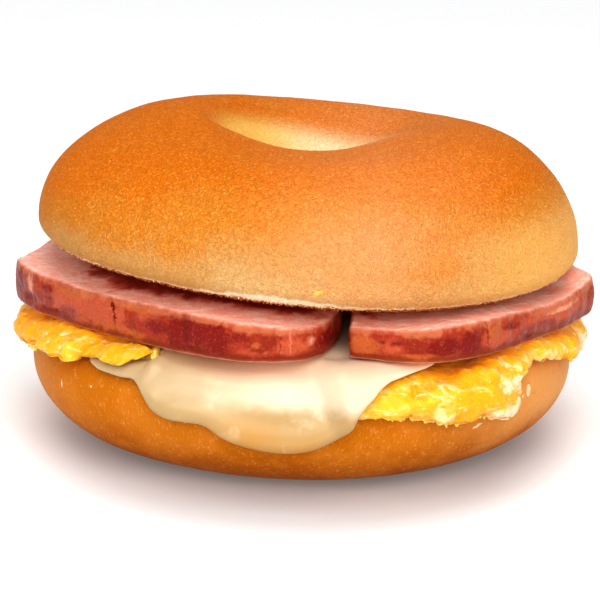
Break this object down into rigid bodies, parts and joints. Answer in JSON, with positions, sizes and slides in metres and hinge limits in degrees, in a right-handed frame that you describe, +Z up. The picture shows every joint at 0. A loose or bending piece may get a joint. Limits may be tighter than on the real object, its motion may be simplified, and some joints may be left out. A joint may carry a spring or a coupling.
{
  "type": "bagel sandwich",
  "caption": "Split ring bagel filled with scrambled egg, melted cheese and thick half slices of ham, served whole and eaten from the hand.",
  "frame": {"origin": "centre of the bagel's flat base, on the surface it stands on", "axes": "+Z up through the bagel's hole; -Y towards the front, where the cheese hangs out"},
  "size_m": [0.1196, 0.1215, 0.0658],
  "materials": {
    "upper_crust": "satin golden baked crust",
    "lower_crust": "satin brown baked crust",
    "ham": "moist pink meat with a browned rim",
    "cheese": "smooth melted cheese",
    "egg": "soft moist scrambled egg"
  },
  "bodies": {
    "root": {"crown": "upper_crust", "heel": "lower_crust", "ham_left": "ham", "ham_right": "ham", "cheese": "cheese", "egg": "egg"}
  },
  "joints": []
}
